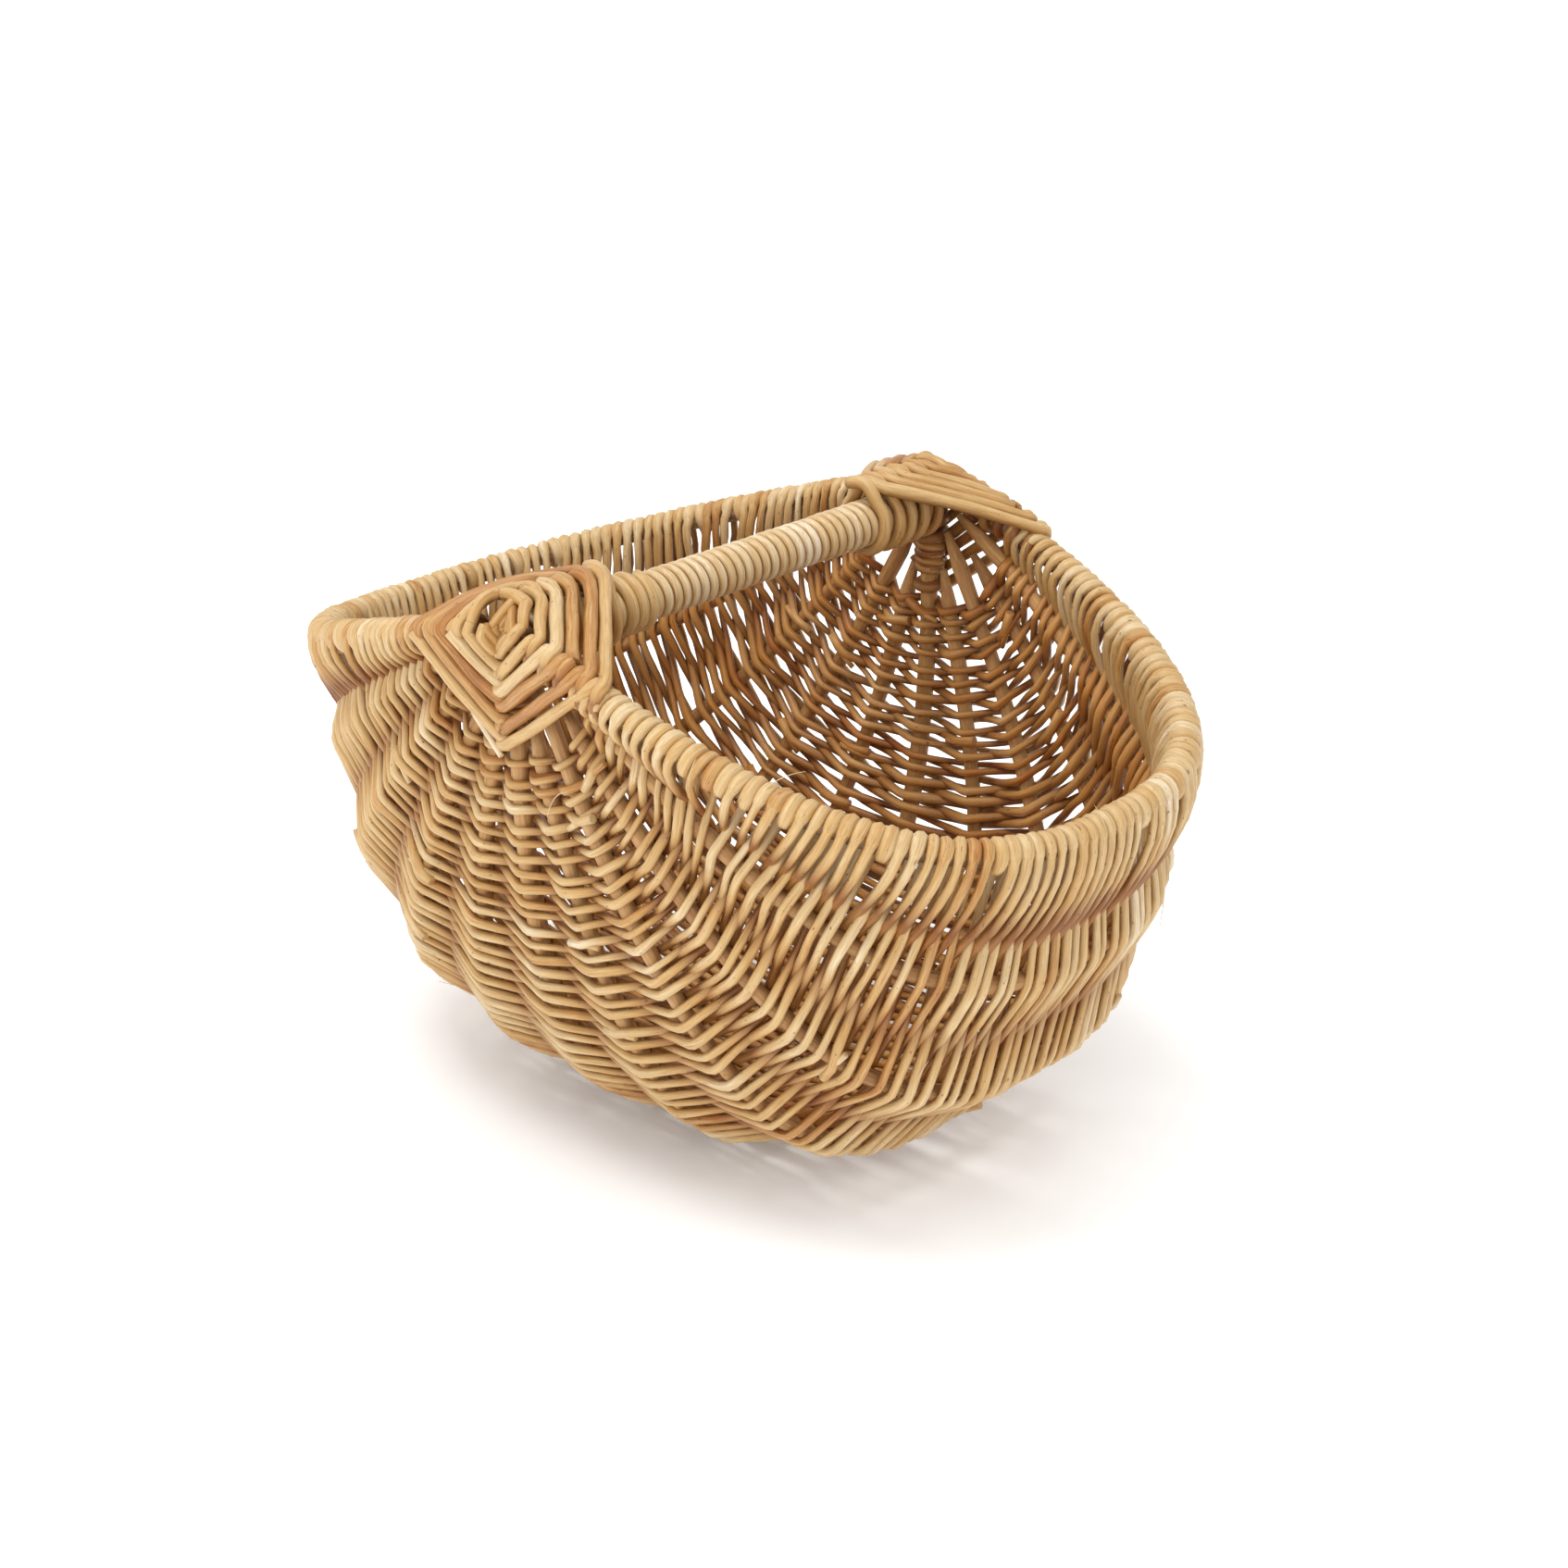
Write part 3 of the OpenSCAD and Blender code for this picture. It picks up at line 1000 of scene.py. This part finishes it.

# for each arm: where the first course lies, the step to the next, the ridge's tilt and height, how close the
# rod goes round behind, how wide it lies on the ridge, how much painted shade it gets behind, and its bow on
# the way there
eyeArms = {
    "left": {"first": 0.002, "pitch": 0.0082, "tilt": 30, "ridge": 0.0092, "loop": 0.0050,
             "spread": 14, "shade": 0.0055, "bow": 1.0, "lift": (0.3, 0.95)},
    "keel": {"first": 0.004, "pitch": 0.0079, "tilt": 5, "ridge": 0.0088, "loop": 0.0046,
             "spread": 10, "shade": 0.0055, "bow": 0.15, "lift": (1, 0.1)},
    "right": {"first": 0.013, "pitch": 0.0092, "tilt": 66, "ridge": 0.0092, "loop": 0.0048,
              "spread": 14, "shade": 0.0055, "bow": 0.15, "lift": (1, 0.1)},
    "handle": {"first": 0.009, "pitch": 0.0086, "tilt": 85, "ridge": 0.0188, "loop": 0.0120,
               "spread": 24, "shade": 0.0015, "bow": 0.3, "lift": (0.5, 0.86)},
}
eyeOrder = ("left", "keel", "right", "handle")
armStakes = {"keel": keelStake, "right": 0, "left": leftRim}


def armCentre(which, d, end):
    # a point on the arm's own middle line, d from the crossing; end is -1 in front and 1 at the rear
    if which == "handle":
        return Vector((0, end * (halfWidth - d), barAxis))
    j = armStakes[which]
    t = d / stakeLength(j)
    return stake(j, t if end < 0 else 1 - t)


def armFrame(which, end):
    # the ridge's direction, and the way the rod travels over it
    tilt = math.radians(eyeArms[which]["tilt"])
    face = Vector((0, end * math.cos(tilt), math.sin(tilt)))
    if which == "handle":
        return face, Vector((-1, 0, 0))
    if which == "keel":
        return face, Vector((1, 0, 0))
    way = 1 if which == "right" else -1
    return face, Vector((0, -end * math.sin(tilt), math.cos(tilt))) * way


def reached(turn, start, over):
    return min(1, max(0, turn - start) / over)


def eyePass(which, d, end, looped):
    # one visit to an arm: over the ridge, close round behind the arm and over the ridge again
    arm = eyeArms[which]
    face, travel = armFrame(which, end)
    first = -arm["spread"]
    last = 360 + arm["spread"] if looped else arm["spread"]
    points = []
    for i in range(eye["wrapSteps"] + 1):
        turn = first + (last - first) * i / eye["wrapSteps"]
        slid = reached(turn, *eye["slide"]) if looped else 0.5
        sunk = reached(turn, *eye["sink"]) - reached(turn, *eye["rise"]) if looped else 0.0
        at = max(d + (slid - 0.5) * 2 * eye["stagger"], eye["closest"])
        reach = arm["ridge"] + (arm["loop"] - arm["ridge"]) * sunk
        angle = math.radians(turn)
        way = face * math.cos(angle) + travel * math.sin(angle)
        # painted shade: where the rod is sunk behind the arm its height drops, which darkens it
        points.append((armCentre(which, at, end) + way * reach, way, eye["height"] - arm["shade"] * sunk))
    return points


def eyeRods(end):
    dice = random.Random(eye["seed"] + end)
    rods = []
    rod = Rod(eye["firstTone"])
    arms = len(eyeOrder)
    for n in range(eye["courses"] * arms):
        which = eyeOrder[n % arms]
        arm = eyeArms[which]
        size = eye["innerRod"] + (eye["rod"] - eye["innerRod"]) * min(1, n / eye["thinVisits"])
        size *= dice.uniform(*eye["thickness"])
        d = arm["first"] + arm["pitch"] * (n // arms) + dice.uniform(-eye["uneven"], eye["uneven"])
        points = eyePass(which, d, end, n >= eye["flatVisits"])
        if rod.points:
            # proud where it leaves the handle, flat against the wall elsewhere
            start = rod.points[-1]
            before = rod.radii[-1]
            bow = eye["bow"] * arm["bow"]
            lift = Vector((0, end * arm["lift"][0], arm["lift"][1]))
            for i in range(1, eye["chordSteps"]):
                u = i / eye["chordSteps"]
                raised = start.lerp(points[0][0], u) + lift * (bow * 4 * u * (1 - u))
                rod.add(raised, before + (size - before) * u, lift, eye["height"])
        for point, way, height in points:
            rod.add(point, size, way, height)
        if (n + 1) % eye["visitsPerRod"] == 0:
            rods.append(rod)
            fresh = Rod(pickTone(dice, *eye["tone"]))
            fresh.add(rod.points[-1], size, rod.faces[-1], rod.heights[-1])
            rod = fresh
    if len(rod.points) > 2:
        rods.append(rod)
    for item in rods:
        item.smooth()
        item.grow(dice)
    rods.extend(whorl(end, dice))
    if end < 0:
        rods.append(handleCoil(end))
    rods.append(splitTip(end))
    return rods


# the first courses: short stiff rods laid round the crossing, each end under the next
whorls = {
    "rings": ((0.72, 0.0004), (0.42, 0.0018), (0.17, 0.0030)),  # share of the first course, and how far sunk
    "thickness": (0.85, 1.0),
    "tone": (0.48, 0.1),
    "shares": (-0.22, -0.08, 0.1, 0.3, 0.5, 0.7, 0.9, 1.08, 1.22),
    "slope": 0.0011,
    "dome": 0.0006,
    "back": 0.0002,
    "height": 0.003,
    "sinkShade": 0.4,
}


def whorl(end, dice):
    corners = []
    for which in eyeOrder:
        arm = eyeArms[which]
        face, _ = armFrame(which, end)
        corners.append(armCentre(which, arm["first"], end) + face * arm["ridge"])
    middle = sum(corners, Vector()) / 4
    out = (corners[2] - corners[0]).cross(corners[3] - corners[1]).normalized()
    if out.z < 0:
        out = -out
    rods = []
    for share, sink in whorls["rings"]:
        ring = [middle + (corner - middle) * share - out * sink for corner in corners]
        for a, b in zip(ring, ring[1:] + ring[:1]):
            back = (b - a).normalized() * whorls["back"]
            rod = Rod(pickTone(dice, *whorls["tone"]))
            size = eye["innerRod"] * dice.uniform(*whorls["thickness"])
            for u in whorls["shares"]:
                rise = whorls["slope"] * (1 - 2 * u) + whorls["dome"] * (1 - (2 * u - 1) ** 2)
                # painted shade: the deeper rings get less height, and so a darker colour
                height = whorls["height"] - sink * whorls["sinkShade"]
                rod.add(a.lerp(b, u) + out * rise - back, size, out, height)
            rods.append(rod)
    return rods


# more turns round the wrapped handle, beyond the last course of the front lashing
coil = {"turns": 3, "stepsPerTurn": 24, "gap": 0.004, "pitch": 2.04, "lift": 0.1, "thin": 0.97, "tone": 0.5}


def handleCoil(end):
    rod = Rod(coil["tone"])
    arm = eyeArms["handle"]
    start = arm["first"] + arm["pitch"] * (eye["courses"] - 1) + coil["gap"]
    face, travel = armFrame("handle", end)
    reach = gripRadius + eye["rod"] * coil["lift"]
    steps = coil["turns"] * coil["stepsPerTurn"]
    for i in range(steps + 1):
        share = i / steps
        angle = 2 * math.pi * coil["turns"] * share
        d = start + share * coil["turns"] * coil["pitch"] * eye["rod"]
        way = face * math.cos(angle) + travel * math.sin(angle)
        rod.add(armCentre("handle", d, end) + way * reach, eye["rod"] * coil["thin"], way)
    return rod


# the last rod's split end, laid pale along the lower left edge
split = {
    "inset": 0.002,
    "ridgeShare": 0.86,
    "run": 0.36,
    "proud": 0.0024,
    "proudDrop": 0.001,
    "radius": 0.0012,
    "swell": 0.0005,
    "steps": 8,
    "tone": 0.98,
}


def splitTip(end):
    face, _ = armFrame("keel", end)
    spots = {}
    for which in ("keel", "left"):
        arm = eyeArms[which]
        spots[which] = armCentre(which, arm["first"] + arm["pitch"] * eye["courses"] - split["inset"], end)
    low = spots["keel"] + face * eyeArms["keel"]["ridge"] * split["ridgeShare"]
    tip = Rod(split["tone"])
    for i in range(split["steps"] + 1):
        u = i / split["steps"]
        proud = Vector((0, end, 0)) * (split["proud"] - split["proudDrop"] * u)
        point = low.lerp(spots["left"], split["run"] * u) + proud
        tip.add(point, split["radius"] + split["swell"] * u, face, eye["height"])
    return tip


for end, name, node in ((-1, "godsEyeFront", "gods_eye_front"), (1, "godsEyeRear", "gods_eye_rear")):
    piece = rodPiece(name, eyeRods(end), lashingWillow, eye["sides"])
    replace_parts(piece, node)
print("lashings done")

studioLook = {
    "floorSize": 40,
    "floorPale": 0.88,
    "floorRoughness": 0.9,
    "floorSpecular": 0.1,
    "paintedGlowReach": 0.5,  # painted light: the floor glows, dimly beside the basket, which paints a darker contact shadow there, and more further out, so it stays pale beyond the reach of the lamps
    "paintedGlow": [(0.03, (0.06, 0.06, 0.06)), (0.12, (0.42, 0.42, 0.42))],
    "world": 0.85,
    "aim": (0, 0, 0.12),
    "lamps": (  # name, place, size in metres, watts
        ("keyLight", (-0.25, -0.5, 2.3), 1.0, 24),
        ("fillLight", (0.5, -1.9, 1.1), 1.0, 8),
    ),
}


def studio():
    floorMesh = bpy.data.meshes.new("floor")
    bm = bmesh.new()
    bmesh.ops.create_grid(bm, x_segments=1, y_segments=1, size=studioLook["floorSize"])
    bm.to_mesh(floorMesh)
    bm.free()
    floor = bpy.data.objects.new("floor", floorMesh)
    bpy.context.scene.collection.objects.link(floor)
    paper = bpy.data.materials.new("palePaperPaintedGlow")
    paper.use_nodes = True
    tree = paper.node_tree
    shader = tree.nodes["Principled BSDF"]
    shader.inputs["Base Color"].default_value = (*[studioLook["floorPale"]] * 3, 1)
    shader.inputs["Roughness"].default_value = studioLook["floorRoughness"]
    shader.inputs["Specular IOR Level"].default_value = studioLook["floorSpecular"]
    # painted light and painted shadow: the floor's own glow, weak beside the basket and strong further out
    spot = tree.nodes.new("ShaderNodeTexCoord").outputs["Object"]
    reach = tree.nodes.new("ShaderNodeVectorMath")
    reach.operation = "LENGTH"
    link(tree, spot, reach.inputs[0])
    outward = mathNode(tree, "MULTIPLY", reach.outputs["Value"], studioLook["paintedGlowReach"])
    link(tree, rampNode(tree, outward, studioLook["paintedGlow"]), shader.inputs["Emission Color"])
    shader.inputs["Emission Strength"].default_value = 1.0
    floorMesh.materials.append(paper)
    world = bpy.data.worlds.new("studio")
    bpy.context.scene.world = world
    world.use_nodes = True
    background = world.node_tree.nodes["Background"]
    background.inputs["Color"].default_value = (1, 1, 1, 1)
    background.inputs["Strength"].default_value = studioLook["world"]
    for name, place, size, power in studioLook["lamps"]:
        light = bpy.data.lights.new(name, "AREA")
        light.size = size
        light.energy = power
        lamp = bpy.data.objects.new(name, light)
        lamp.location = place
        aim = Vector(studioLook["aim"]) - Vector(place)
        lamp.rotation_euler = aim.to_track_quat("-Z", "Y").to_euler()
        bpy.context.scene.collection.objects.link(lamp)


# the camera looks at a point near the rim's middle, from the right and a little above
view = {
    "turn": 43.667,
    "rise": 23.163,
    "distance": 1.301,
    "aimHeight": 0.15,
    "aimRight": 0.0197,
    "aimDown": 0.011,
    "lens": 69.72,
    "sensor": 36,
}


def setCamera():
    turn = math.radians(view["turn"])
    rise = math.radians(view["rise"])
    back = Vector((math.sin(turn) * math.cos(rise), -math.cos(turn) * math.cos(rise), math.sin(rise)))
    right = Vector((math.cos(turn), math.sin(turn), 0))
    up = back.cross(right)
    aim = Vector((0, 0, view["aimHeight"])) + right * view["aimRight"] - up * view["aimDown"]
    data = bpy.data.cameras.new("studioCamera")
    data.lens = view["lens"]
    data.sensor_width = view["sensor"]
    camera = bpy.data.objects.new("studioCamera", data)
    camera.location = aim + back * view["distance"]
    camera.rotation_euler = (-back).to_track_quat("-Z", "Y").to_euler()
    bpy.context.scene.collection.objects.link(camera)
    bpy.context.scene.camera = camera


studio()
setCamera()
bpy.context.scene.view_settings.view_transform = "Standard"
print("studio ready")
